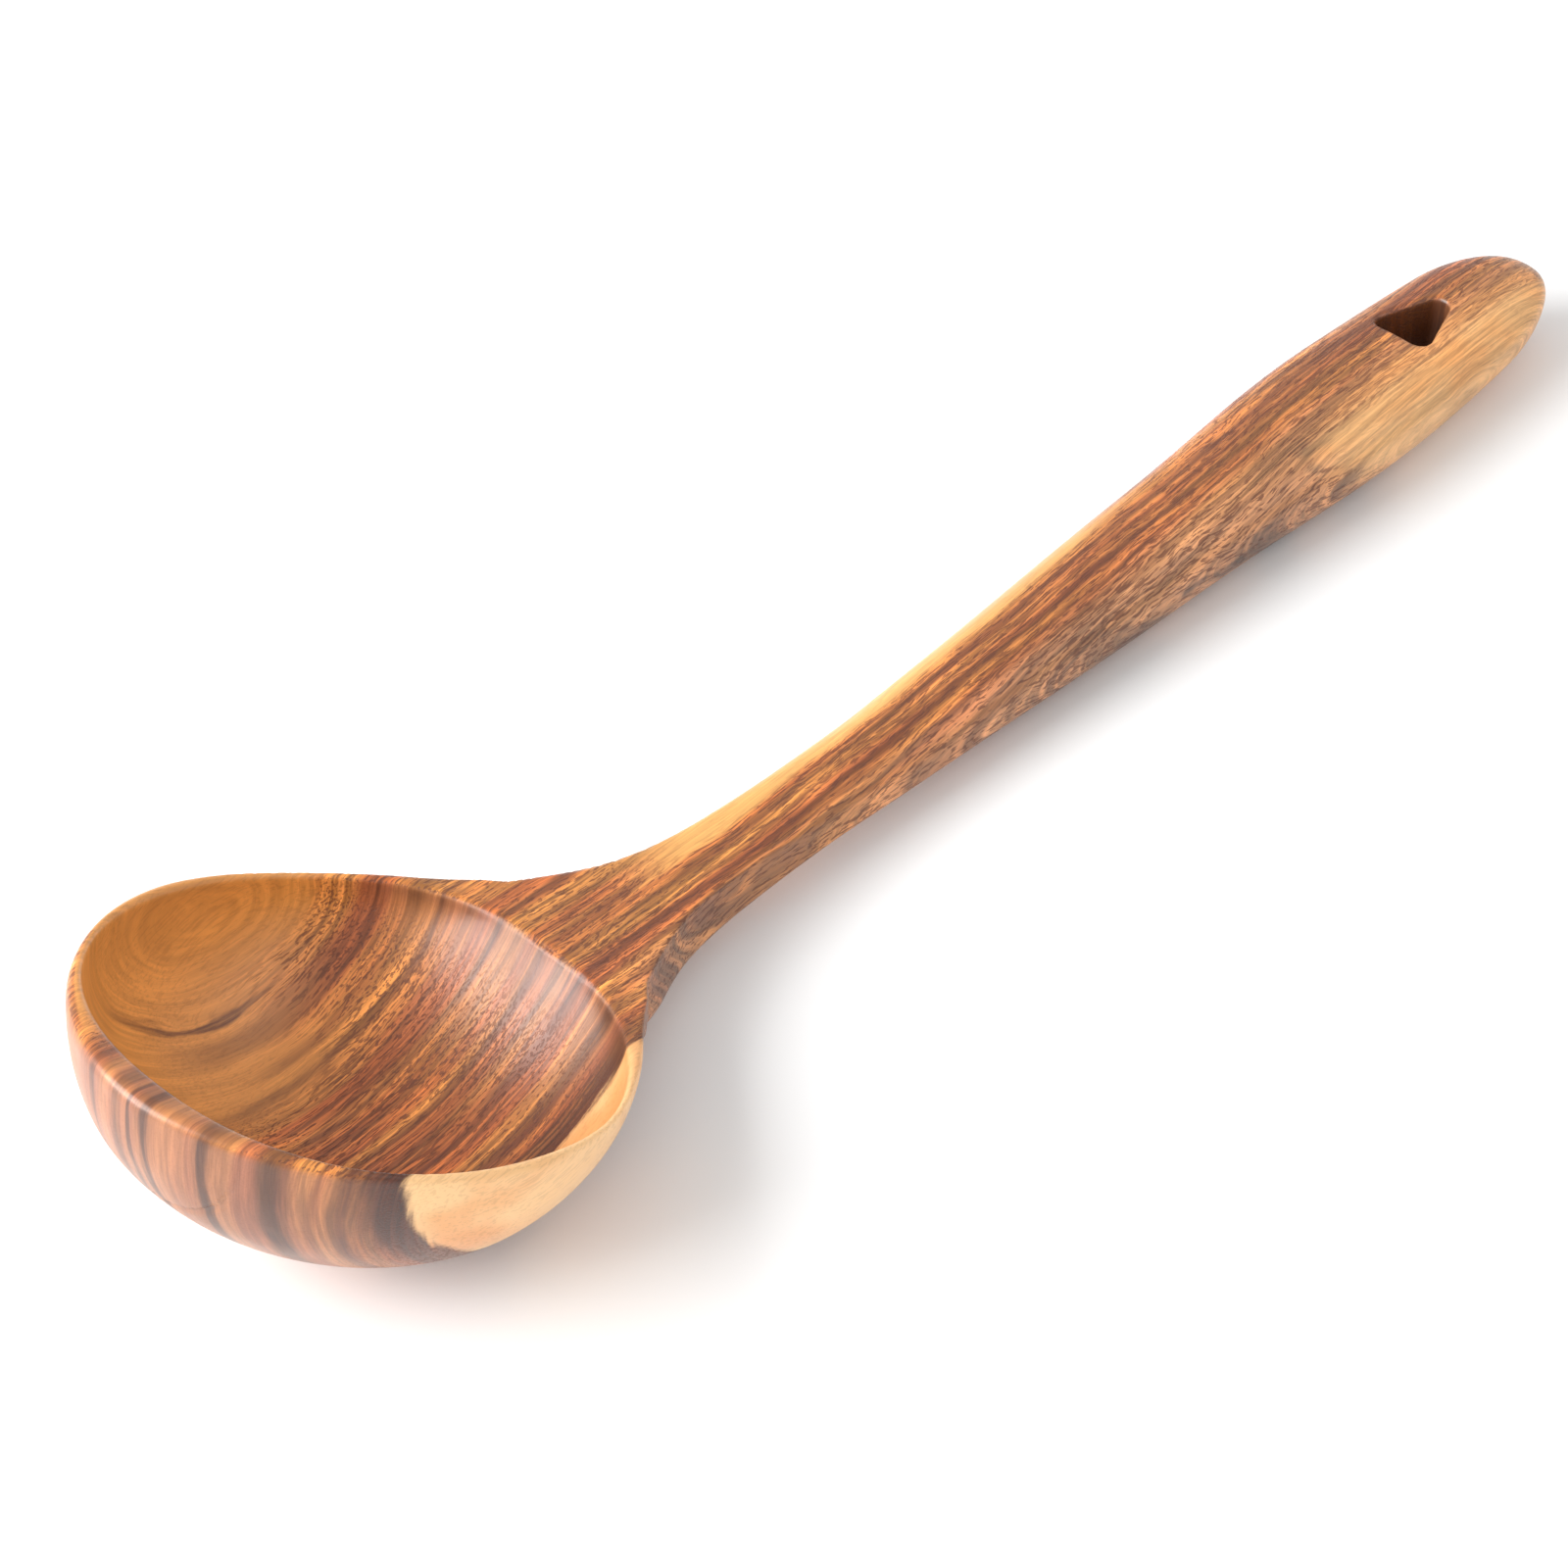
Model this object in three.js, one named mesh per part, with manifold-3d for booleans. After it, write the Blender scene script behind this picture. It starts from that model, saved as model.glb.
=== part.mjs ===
// A wooden soup ladle, carved in one piece: a round bowl, a thick neck and a long
// handle that swells towards a rounded end with a three-cornered hanging hole.
//
// It lies as it does on a table: the underside of the bowl and the underside of
// the handle's end both touch z = 0. The handle runs along +X, +Z is up, and the
// origin is at the middle of the ladle's length and width, on the table.
//
// The shape is first made in the bowl's own frame (millimetres): u runs from the
// middle of the bowl towards the handle's end, v across and w up, with w = 0 at the
// level where the bowl's side outline starts. The blank is a loft of cross sections
// along u. The hollow and the hole are then cut out of it.

import * as THREE from "three";
import { mergeVertices } from "three/addons/utils/BufferGeometryUtils.js";
import Module from "manifold-3d";

// ---------- driving dimensions, in millimetres ----------

// outside of the bowl
const BOWL_HALF_WIDTH = 46;
const BOWL_FRONT = 50;            // from the middle of the bowl to its front lip
const BOWL_BACK = 54.5;               // to where its back would end under the neck
const BOWL_DEPTH = 43;            // from the bowl's own level to its lowest point
const BOWL_PLAN_POWER = 1.86;       // 2 is an ellipse, less is more pointed
const BOWL_SIDE_POWER = 1.86;       // outline seen from the side
const BOWL_SECTION_POWER = 2.17;    // outline of a cross section

// hollow of the bowl
const HOLLOW_MIDDLE = 1.4;          // where its middle lies along u
const HOLLOW_HALF_LENGTH = 44.7;
const HOLLOW_HALF_WIDTH = 43.5;
const HOLLOW_POWER = 2.2;           // its outline in plan and in cross section
const HOLLOW_DEPTH = 39;            // from the bowl's own level to the floor
const HOLLOW_BACK_REACH = 48.3;       // side outline of the floor behind the middle

// neck and handle
const HANDLE_END = 321;             // from the middle of the bowl to the tip
const END_ROUNDING = 22;            // length over which the tip rounds off
const PLAN_FILLET = 11;             // how softly the neck spreads into the bowl
const KEEL_FILLET = 8;              // how softly it meets the bowl underneath
const NECK_SECTION_POWER = 2.4;
const NECK_BULGE = 0.36;            // how far its sides swell out below the flat top
const HANDLE_SECTION_POWER = 2.2;   // outline of the handle's underside
const CRISP_SHOULDER = 0.4;         // rounding of the top edges at rim and neck
const SOFT_SHOULDER = 8;          // rounding of the handle's top edges
const TIP_SHOULDER = 5;             // the same at the tip
const END_POWER = 2.2;              // how round the tip is
const CRISP_TOP_POWER = 8;          // the top is flat at the neck
const SOFT_TOP_POWER = 2.4;         // and rounded along the handle

// top line of the whole ladle: [u, w]
const TOP_LINE = [
  [-46, 4], [-20, -1.3], [8, -7.8], [32, -12.6], [55, -13.3], [80, -12],
  [115, -6.6], [160, 3.1], [210, 14.4], [255, 23.5], [321, 34],
];
// neck and handle: [u, half width]
const HALF_WIDTHS = [
  [52, 18], [70, 10.1], [95, 7.5], [125, 8.9], [160, 10.4], [195, 12.1],
  [225, 13.5], [250, 15.5], [321, 11.6],
];
// neck and handle: [u, thickness from top to bottom]
const THICKNESSES = [
  [45, 15], [62, 14.6], [85, 12], [120, 10.3], [165, 15.3], [210, 18.3],
  [250, 19], [321, 15.3],
];

// hanging hole: a triangle with rounded corners, its point towards the tip
const HOLE_BASE = 279;              // u of the straight side
const HOLE_POINT = 294.5;             // u of the rounded point
const HOLE_ACROSS = 1.8;            // it sits slightly to the +v side
const HOLE_BASE_HALF = 6.4;         // half of the straight side, corners included
const HOLE_CORNER = 2.7;            // radius of all three corners

// fineness of the mesh
const SECTION_STEPS = 36;
const HOLLOW_RINGS = 16;
const HOLLOW_SPOKES = 48;

// ---------- helpers ----------

const clamp = (x, low, high) => Math.min(Math.max(x, low), high);

// smooth step from 0 to 1 as x goes from a to b
function ease(x, a, b) {
  const t = clamp((x - a) / (b - a), 0, 1);
  return t * t * (3 - 2 * t);
}

// the larger of a and b, blended where they are closer than k
function smoothMax(a, b, k) {
  const t = clamp(0.5 + (0.5 * (a - b)) / k, 0, 1);
  return b + (a - b) * t + k * t * (1 - t);
}

// y of the superellipse |x/a|^p + |y|^p = 1
function arch(x, a, p) {
  return Math.pow(Math.max(1 - Math.pow(Math.abs(x / a), p), 0), 1 / p);
}

// cos or sin value bent to a superellipse of power p
function bend(value, p) {
  return Math.sign(value) * Math.pow(Math.abs(value), 2 / p);
}

// natural cubic spline through [x, y] points
function spline(points) {
  const n = points.length;
  const curve = new Array(n).fill(0);
  const above = new Array(n).fill(0);
  for (let i = 1; i < n - 1; i++) {
    const before = points[i][0] - points[i - 1][0];
    const after = points[i + 1][0] - points[i][0];
    const slopeBefore = (points[i][1] - points[i - 1][1]) / before;
    const slopeAfter = (points[i + 1][1] - points[i][1]) / after;
    const pivot = 2 * (before + after) - before * above[i - 1];
    above[i] = after / pivot;
    curve[i] = (6 * (slopeAfter - slopeBefore) - before * curve[i - 1]) / pivot;
  }
  for (let i = n - 2; i > 0; i--) curve[i] -= above[i] * curve[i + 1];
  return (x) => {
    let i = 0;
    while (i < n - 2 && x > points[i + 1][0]) i++;
    const step = points[i + 1][0] - points[i][0];
    const b = (x - points[i][0]) / step;
    const a = 1 - b;
    const bow = ((a * a * a - a) * curve[i] + (b * b * b - b) * curve[i + 1]) / 6;
    return a * points[i][1] + b * points[i + 1][1] + bow * step * step;
  };
}

// ---------- the ladle's profile at any u ----------

const topLine = spline(TOP_LINE);
const handleHalfWidth = spline(HALF_WIDTHS);
const handleThickness = spline(THICKNESSES);

function profile(u) {
  const reach = u < 0 ? BOWL_FRONT : BOWL_BACK;
  const tip = clamp((u - HANDLE_END + END_ROUNDING) / END_ROUNDING, 0, 1);
  const top = topLine(u);

  const bowlHalf = BOWL_HALF_WIDTH * arch(u, reach, BOWL_PLAN_POWER);
  let half = bowlHalf;
  if (u > 15) {
    const neckHalf = handleHalfWidth(Math.max(u, 40)) * clamp((u - 10) / 40, 0, 1);
    half = smoothMax(bowlHalf, neckHalf, PLAN_FILLET);
  }

  const outside = Math.max(Math.abs(u) - reach, 0);
  const bowlDepth = BOWL_DEPTH * arch(u, reach, BOWL_SIDE_POWER) - 3 * outside;
  let bottom = -bowlDepth;
  if (u > 20) {
    const keel = handleThickness(Math.max(u, 30)) - top;
    bottom = -smoothMax(bowlDepth, keel, KEEL_FILLET);
  }

  const handle = ease(u, 45, 135);
  const neck = ease(u, 35, 62);
  const tail = ease(u, 75, 135);
  const soft = SOFT_SHOULDER + (TIP_SHOULDER - SOFT_SHOULDER) * ease(u, 270, 321);
  const full = CRISP_SHOULDER + (soft - CRISP_SHOULDER) * handle;
  return {
    cap: arch(tip, 1, END_POWER),     // every section of the tip shrinks by this
    half,
    top,
    bottom,
    shoulder: Math.min(full, (top - bottom) * 0.45),
    bulge: NECK_BULGE * neck * (1 - tail),
    topPower: CRISP_TOP_POWER + (SOFT_TOP_POWER - CRISP_TOP_POWER) * handle,
    bottomPower:
      BOWL_SECTION_POWER +
      (NECK_SECTION_POWER - BOWL_SECTION_POWER) * neck +
      (HANDLE_SECTION_POWER - NECK_SECTION_POWER) * tail,
  };
}

// ---------- closed meshes ----------

// A closed mesh from rings of equal length, with a point at each end. The rings
// follow one another along the body, each running anticlockwise seen from the end.
function skin(rings, startPoint, endPoint) {
  const count = rings[0].length;
  const positions = [...startPoint];
  for (const ring of rings) for (const p of ring) positions.push(...p);
  positions.push(...endPoint);
  const last = positions.length / 3 - 1;
  const at = (i, j) => 1 + i * count + (j % count);
  const faces = [];
  for (let j = 0; j < count; j++) faces.push(0, at(0, j + 1), at(0, j));
  for (let i = 0; i < rings.length - 1; i++) {
    for (let j = 0; j < count; j++) {
      faces.push(at(i, j), at(i, j + 1), at(i + 1, j + 1));
      faces.push(at(i, j), at(i + 1, j + 1), at(i + 1, j));
    }
  }
  for (let j = 0; j < count; j++) {
    faces.push(last, at(rings.length - 1, j), at(rings.length - 1, j + 1));
  }
  const geometry = new THREE.BufferGeometry();
  geometry.setAttribute("position", new THREE.Float32BufferAttribute(positions, 3));
  geometry.setIndex(faces);
  return geometry;
}

// the places along u where the blank gets a cross section
function stations() {
  const list = [];
  for (let i = 1; i <= 16; i++) {
    list.push(-BOWL_FRONT * Math.cos((i / 16) * (Math.PI / 2)));
  }
  for (let u = 5; u < 40; u += 5) list.push(u);
  for (let u = 40; u < 90; u += 3.125) list.push(u);
  for (let u = 90; u < HANDLE_END - END_ROUNDING - 1; u += 7.25) list.push(u);
  for (let i = 0; i < 10; i++) {
    list.push(HANDLE_END - END_ROUNDING * (1 - Math.sin((i / 10) * (Math.PI / 2))));
  }
  return list;
}

function section(u) {
  const p = profile(u);
  const middle = p.top - p.shoulder;
  const ring = [];
  for (let j = 0; j < SECTION_STEPS; j++) {
    const angle = (j / SECTION_STEPS) * 2 * Math.PI;
    const across = Math.cos(angle);
    const up = Math.sin(angle);
    const power = up >= 0 ? p.topPower : p.bottomPower;
    const height = up >= 0 ? p.shoulder : middle - p.bottom;
    const swell = up >= 0 ? 1 : 1 + p.bulge * Math.sin(2 * angle) ** 2;
    const v = p.cap * p.half * swell * bend(across, power);
    ring.push([u, v, middle + p.cap * height * bend(up, power)]);
  }
  return ring;
}

function makeBlank() {
  const front = profile(-BOWL_FRONT);
  const end = profile(HANDLE_END);
  return skin(
    stations().map(section),
    [-BOWL_FRONT, 0, front.top * 0.5],
    [HANDLE_END, 0, end.top - end.shoulder],
  );
}

// The hollow follows the outside with a wall that thins from the floor to the rim.
// Its rings run from the floor outwards to the rim, then straight up out of the top.
function hollowFloor(u, v) {
  const along = u - HOLLOW_MIDDLE;
  const top = topLine(u);
  const reach = along < 0 ? HOLLOW_HALF_LENGTH : HOLLOW_BACK_REACH;
  const floor = -HOLLOW_DEPTH * arch(along, reach, BOWL_SIDE_POWER);
  const half = HOLLOW_HALF_WIDTH * arch(along, HOLLOW_HALF_LENGTH, HOLLOW_POWER);
  const side = half > 0.01 ? arch(v, half, HOLLOW_POWER) : 1;
  return top - (top - floor) * side;
}

function hollowRing(scale, level) {
  const ring = [];
  for (let j = 0; j < HOLLOW_SPOKES; j++) {
    const angle = (j / HOLLOW_SPOKES) * 2 * Math.PI;
    const along = bend(Math.cos(angle), HOLLOW_POWER);
    const across = bend(Math.sin(angle), HOLLOW_POWER);
    const u = HOLLOW_MIDDLE + HOLLOW_HALF_LENGTH * along * scale;
    const v = HOLLOW_HALF_WIDTH * across * scale;
    ring.push([u, v, level(u, v)]);
  }
  return ring;
}

function makeHollow() {
  const rings = [];
  for (let i = 1; i <= HOLLOW_RINGS; i++) {
    const turn = (i / (HOLLOW_RINGS + 0.5)) * (Math.PI / 2);
    rings.push(hollowRing(Math.sin(turn), hollowFloor));
  }
  rings.push(hollowRing(1, (u) => topLine(u) - CRISP_SHOULDER));
  rings.push(hollowRing(1, () => 40));
  const floor = [HOLLOW_MIDDLE, 0, hollowFloor(HOLLOW_MIDDLE, 0)];
  return skin(rings, floor, [HOLLOW_MIDDLE, 0, 40]);
}

// The hole is bored straight down as the ladle lies. Its outline is made of the
// point's arc and the two corners' arcs, joined by straight sides. It starts at the
// middle of the straight side that faces the bowl.
function makeHole() {
  const length = HOLE_POINT - HOLE_BASE;
  const cornerAcross = HOLE_BASE_HALF - HOLE_CORNER;
  const point = length - HOLE_CORNER;
  const lean = Math.atan2(cornerAcross, point - HOLE_CORNER);
  const quarter = Math.PI / 2;
  const outline = new THREE.Shape();
  outline.absarc(point, 0, HOLE_CORNER, lean - quarter, quarter - lean);
  outline.absarc(HOLE_CORNER, cornerAcross, HOLE_CORNER, quarter - lean, Math.PI);
  outline.absarc(HOLE_CORNER, -cornerAcross, HOLE_CORNER, Math.PI, 3 * quarter + lean);
  outline.closePath();
  const geometry = new THREE.ExtrudeGeometry(outline, {
    depth: 80,
    bevelEnabled: false,
    curveSegments: 8,
  });
  geometry.translate(0, 0, -20);
  return geometry;
}

// ---------- booleans ----------

const wasm = await Module();
wasm.setup();

function solid(geometry) {
  const bare = geometry.clone();
  bare.deleteAttribute("normal");
  bare.deleteAttribute("uv");
  const merged = mergeVertices(bare, 1e-4);
  return new wasm.Manifold(new wasm.Mesh({
    numProp: 3,
    vertProperties: new Float32Array(merged.attributes.position.array),
    triVerts: new Uint32Array(merged.index.array),
  }));
}

function toGeometry(manifold) {
  const mesh = manifold.getMesh();
  const geometry = new THREE.BufferGeometry();
  const positions = new Float32Array(mesh.vertProperties);
  geometry.setAttribute("position", new THREE.BufferAttribute(positions, 3));
  geometry.setIndex(new THREE.BufferAttribute(new Uint32Array(mesh.triVerts), 1));
  return geometry;
}

// The turn about Y that brings the bowl and the handle's end to the same level.
function lyingAngle(geometry) {
  const position = geometry.attributes.position;
  const lowest = (angle, from, to) => {
    let level = Infinity;
    for (let i = 0; i < position.count; i++) {
      const u = position.getX(i);
      if (u < from || u > to) continue;
      level = Math.min(level, Math.cos(angle) * position.getZ(i) - Math.sin(angle) * u);
    }
    return level;
  };
  let low = 0;
  let high = 0.6;
  for (let i = 0; i < 50; i++) {
    const middle = (low + high) / 2;
    const bowl = lowest(middle, -BOWL_FRONT, 110);
    const end = lowest(middle, 200, HANDLE_END);
    if (end > bowl) low = middle;
    else high = middle;
  }
  return (low + high) / 2;
}

// ---------- the ladle ----------

const carved = toGeometry(solid(makeBlank()).subtract(solid(makeHollow())));
const angle = lyingAngle(carved);
carved.rotateY(angle);
carved.computeBoundingBox();
const box = carved.boundingBox;
const toMiddle = [-(box.min.x + box.max.x) / 2, -(box.min.y + box.max.y) / 2, -box.min.z];
carved.translate(...toMiddle);

const holeStart = new THREE.Vector3(HOLE_BASE, HOLE_ACROSS, topLine(HOLE_BASE));
holeStart.applyAxisAngle(new THREE.Vector3(0, 1, 0), angle);
holeStart.add(new THREE.Vector3(...toMiddle));
const hole = makeHole();
hole.translate(holeStart.x, holeStart.y, 0);

const shape = toGeometry(solid(carved).subtract(solid(hole)));
shape.computeVertexNormals();

const oiledWood = new THREE.MeshStandardMaterial({
  color: 0xa9683a,
  roughness: 0.5,
  metalness: 0,
});
const ladle = new THREE.Mesh(shape, oiledWood);
ladle.name = "ladle";

const group = new THREE.Group();
group.add(ladle);

export default group;
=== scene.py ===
# A carved wooden soup ladle lying on a pale table.
#
# The fine surface is made here from the same formulas as the CAD solid, as one
# smooth skin, and takes the CAD solid's place. Lengths in the shape formulas are
# millimetres in the bowl's own frame: u along the ladle from the middle of the
# bowl, v across, w up. Everything that Blender sees is in metres.

import math

import bpy
import numpy as np
from mathutils import Matrix, Vector


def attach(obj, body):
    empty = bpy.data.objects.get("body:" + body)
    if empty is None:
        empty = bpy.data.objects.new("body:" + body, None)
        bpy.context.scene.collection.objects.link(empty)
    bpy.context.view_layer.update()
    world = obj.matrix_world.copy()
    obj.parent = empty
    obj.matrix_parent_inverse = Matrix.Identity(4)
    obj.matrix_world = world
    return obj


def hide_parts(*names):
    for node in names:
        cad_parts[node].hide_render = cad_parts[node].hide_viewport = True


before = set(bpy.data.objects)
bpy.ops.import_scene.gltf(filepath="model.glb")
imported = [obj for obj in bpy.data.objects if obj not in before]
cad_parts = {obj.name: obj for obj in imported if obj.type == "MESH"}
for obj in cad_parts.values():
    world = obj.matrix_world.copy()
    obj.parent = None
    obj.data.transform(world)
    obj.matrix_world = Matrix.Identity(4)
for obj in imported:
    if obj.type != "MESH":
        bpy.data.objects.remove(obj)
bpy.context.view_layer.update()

# ---------- the ladle's shape, in millimetres ----------

BOWL_HALF_WIDTH = 46.0
BOWL_FRONT = 50.0
BOWL_BACK = 54.5
BOWL_DEPTH = 43.0
BOWL_POWER = 1.86            # outline in plan and from the side
BOWL_SECTION_POWER = 2.17

HOLLOW_MIDDLE = 1.4
HOLLOW_HALF_LENGTH = 44.7
HOLLOW_HALF_WIDTH = 43.5
HOLLOW_POWER = 2.2
HOLLOW_DEPTH = 39.0
HOLLOW_BACK_REACH = 48.3

HANDLE_END = 321.0
END_ROUNDING = 22.0
END_POWER = 2.2
PLAN_FILLET = 11.0
KEEL_FILLET = 8.0
NECK_SECTION_POWER = 2.4
NECK_BULGE = 0.36
HANDLE_SECTION_POWER = 2.2
CRISP_SHOULDER = 0.4
SOFT_SHOULDER = 8.0
TIP_SHOULDER = 5.0
CRISP_TOP_POWER = 8.0
SOFT_TOP_POWER = 2.4

TOP_LINE = [
    (-46, 4), (-20, -1.3), (8, -7.8), (32, -12.6), (55, -13.3), (80, -12),
    (115, -6.6), (160, 3.1), (210, 14.4), (255, 23.5), (321, 34),
]
HALF_WIDTHS = [
    (52, 18), (70, 10.1), (95, 7.5), (125, 8.9), (160, 10.4), (195, 12.1),
    (225, 13.5), (250, 15.5), (321, 11.6),
]
THICKNESSES = [
    (45, 15), (62, 14.6), (85, 12), (120, 10.3), (165, 15.3), (210, 18.3),
    (250, 19), (321, 15.3),
]

HOLE_X = 143.627             # the straight side, in the table's frame
HOLE_ACROSS = 1.8
HOLE_LENGTH = 15.5
HOLE_BASE_HALF = 6.4
HOLE_CORNER = 2.7

LYING_ANGLE = 0.187527       # turn about Y that lays it on the table
SHIFT_X = -135.6287
SHIFT_Z = 43.1311

# where along u one form gives way to the next
HANDLE_BLEND = (45, 135)     # flat top with crisp edges, to rounded top
NECK_BLEND = (35, 62)        # bowl section, to neck section
TAIL_BLEND = (75, 135)       # neck section, to handle section
TIP_BLEND = (270, HANDLE_END)
SOFT_BLEND = (60, 110)       # hand-sanded edges, to the handle's round shoulders
SIDE_EDGE_BLEND = (30, 55)   # rim at the sides, to neck
FRONT_EDGE_BLEND = (-48, -15)

# how far the hand-sanded edges are rounded
RIM_FRONT_EDGE = 3.0
RIM_SIDE_EDGE = 1.7
NECK_EDGE = 0.55
LIP_SOFTNESS = 0.12          # keeps the foremost sections finite
INNER_EDGE = 1.3
HOLE_EDGE = 1.2

MESH_STEP = 0.65
COARSE = 4                   # the search for the surface starts this much coarser
RELAX_ROUNDS = 3


def spline(points):
    """Natural cubic spline through points."""
    x = np.array([p[0] for p in points], float)
    y = np.array([p[1] for p in points], float)
    step = np.diff(x)
    count = len(x)
    system = np.eye(count)
    right = np.zeros(count)
    for i in range(1, count - 1):
        system[i, i - 1 : i + 2] = step[i - 1], 2 * (step[i - 1] + step[i]), step[i]
        right[i] = 6 * ((y[i + 1] - y[i]) / step[i] - (y[i] - y[i - 1]) / step[i - 1])
    curve = np.linalg.solve(system, right)

    def at(q):
        i = np.clip(np.searchsorted(x, q, side="right") - 1, 0, count - 2)
        b = (q - x[i]) / step[i]
        a = 1 - b
        bow = ((a**3 - a) * curve[i] + (b**3 - b) * curve[i + 1]) * step[i] ** 2 / 6
        return a * y[i] + b * y[i + 1] + bow

    return at


def ease(x, a, b):
    t = np.clip((x - a) / (b - a), 0, 1)
    return t * t * (3 - 2 * t)


def smooth_max(a, b, k):
    t = np.clip(0.5 + 0.5 * (a - b) / k, 0, 1)
    return b + (a - b) * t + k * t * (1 - t)


def arch(x, a, p):
    return np.maximum(1 - np.abs(x / a) ** p, 0) ** (1 / p)


def make_profile():
    """Everything that depends on u alone, as a fine table."""
    u = np.arange(-60, HANDLE_END + 12, 0.25)
    top = spline(TOP_LINE)(u)
    reach = np.where(u < 0, BOWL_FRONT, BOWL_BACK)
    bowl_arch = arch(u, reach, BOWL_POWER)
    neck_half = spline(HALF_WIDTHS)(np.maximum(u, 40)) * np.clip((u - 10) / 40, 0, 1)
    half = smooth_max(BOWL_HALF_WIDTH * bowl_arch, neck_half, PLAN_FILLET)
    half = np.where(u > 15, half, BOWL_HALF_WIDTH * bowl_arch)
    depth = BOWL_DEPTH * bowl_arch - 3 * np.maximum(np.abs(u) - reach, 0)
    keel = spline(THICKNESSES)(np.maximum(u, 30)) - top
    below = np.where(u > 20, smooth_max(depth, keel, KEEL_FILLET), depth)
    handle, neck, tail = ease(u, *HANDLE_BLEND), ease(u, *NECK_BLEND), ease(u, *TAIL_BLEND)
    soft = SOFT_SHOULDER + (TIP_SHOULDER - SOFT_SHOULDER) * ease(u, *TIP_BLEND)
    shoulder = CRISP_SHOULDER + (soft - CRISP_SHOULDER) * handle
    middle = top - shoulder
    # ahead of the middle of the bowl the widths are those of the whole bowl, and
    # "shrink" says how far along its outline the front lip is
    front = u < 0
    cap = np.hypot(bowl_arch, LIP_SOFTNESS)
    tip = np.maximum(u - HANDLE_END + END_ROUNDING, 0) / END_ROUNDING
    along = (u - HOLLOW_MIDDLE) / HOLLOW_HALF_LENGTH
    hollow_reach = np.where(along < 0, HOLLOW_HALF_LENGTH, HOLLOW_BACK_REACH)
    floor = HOLLOW_DEPTH * arch(u - HOLLOW_MIDDLE, hollow_reach, BOWL_POWER)
    narrow = np.maximum(1 - np.abs(along) ** HOLLOW_POWER, 0.04) ** (1 / HOLLOW_POWER)
    return u, {
        "top": top,
        "middle": middle,
        "half": np.where(front, BOWL_HALF_WIDTH, half),
        "deep": np.where(front, BOWL_DEPTH + middle / cap, middle + below),
        "shoulder": shoulder,
        "bulge": NECK_BULGE * neck * (1 - tail),
        "top_power": CRISP_TOP_POWER + (SOFT_TOP_POWER - CRISP_TOP_POWER) * handle,
        "low_power": BOWL_SECTION_POWER
        + (NECK_SECTION_POWER - BOWL_SECTION_POWER) * neck
        + (HANDLE_SECTION_POWER - NECK_SECTION_POWER) * tail,
        "shrink": np.where(front, np.abs(u / BOWL_FRONT) ** BOWL_POWER, tip**END_POWER),
        "end_power": np.where(front, BOWL_POWER, END_POWER),
        "along": np.abs(along) ** HOLLOW_POWER,
        "hollow_deep": np.maximum(top + floor, 1.0) / narrow,
        "edge": NECK_EDGE
        + (RIM_SIDE_EDGE - NECK_EDGE) * (1 - ease(u, *SIDE_EDGE_BLEND))
        + (RIM_FRONT_EDGE - RIM_SIDE_EDGE) * (1 - ease(u, *FRONT_EDGE_BLEND)),
        "soft": ease(u, *SOFT_BLEND),
    }


TABLE_U, TABLE = make_profile()
COS, SIN = math.cos(LYING_ANGLE), math.sin(LYING_ANGLE)


def outside_crisp(u, v, w):
    """Below 0 inside the bowl and neck's side surface, which runs straight up."""
    t = {k: np.interp(u, TABLE_U, TABLE[k]) for k in
         ("middle", "half", "deep", "bulge", "low_power", "shrink", "end_power")}
    n = t["low_power"]
    down = (np.maximum(t["middle"] - w, 0) / t["deep"]) ** n
    share = np.minimum(down, 1)
    swell = 1 + 4 * t["bulge"] * share * (1 - share)
    side = (np.abs(v) / (t["half"] * swell)) ** n
    p = t["end_power"]
    return ((side + down) ** (p / n) + t["shrink"]) ** (1 / p) - 1


def outside_soft(u, v, w):
    """Below 0 inside the handle, whose top is rounded over its shoulders."""
    t = {k: np.interp(u, TABLE_U, TABLE[k]) for k in
         ("middle", "half", "deep", "shoulder", "bulge", "top_power", "low_power",
          "shrink", "end_power")}
    above = w > t["middle"]
    n = np.where(above, t["top_power"], t["low_power"])
    height = np.where(above, t["shoulder"], t["deep"])
    rise = (np.abs(w - t["middle"]) / height) ** n
    share = np.where(above, 0, np.minimum(rise, 1))
    swell = 1 + 4 * t["bulge"] * share * (1 - share)
    side = (np.abs(v) / (t["half"] * swell)) ** n
    p = t["end_power"]
    return ((side + rise) ** (p / n) + t["shrink"]) ** (1 / p) - 1


def hollow(u, v, w):
    """Below 0 inside the hollow of the bowl, which is open upwards."""
    t = {k: np.interp(u, TABLE_U, TABLE[k]) for k in ("top", "along", "hollow_deep")}
    down = (np.maximum(t["top"] - w, 0) / t["hollow_deep"]) ** HOLLOW_POWER
    side = (np.abs(v) / HOLLOW_HALF_WIDTH) ** HOLLOW_POWER
    return (t["along"] + side + down) ** (1 / HOLLOW_POWER) - 1


def distance(shape, u, v, w):
    """The shape's level divided by its slope, which is close to a distance."""
    e = 0.05
    here = shape(u, v, w)
    slope = (shape(u + e, v, w) - here) ** 2
    slope += (shape(u, v + e, w) - here) ** 2
    slope += (shape(u, v, w + e) - here) ** 2
    return here * e / np.sqrt(np.maximum(slope, 1e-14))


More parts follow.
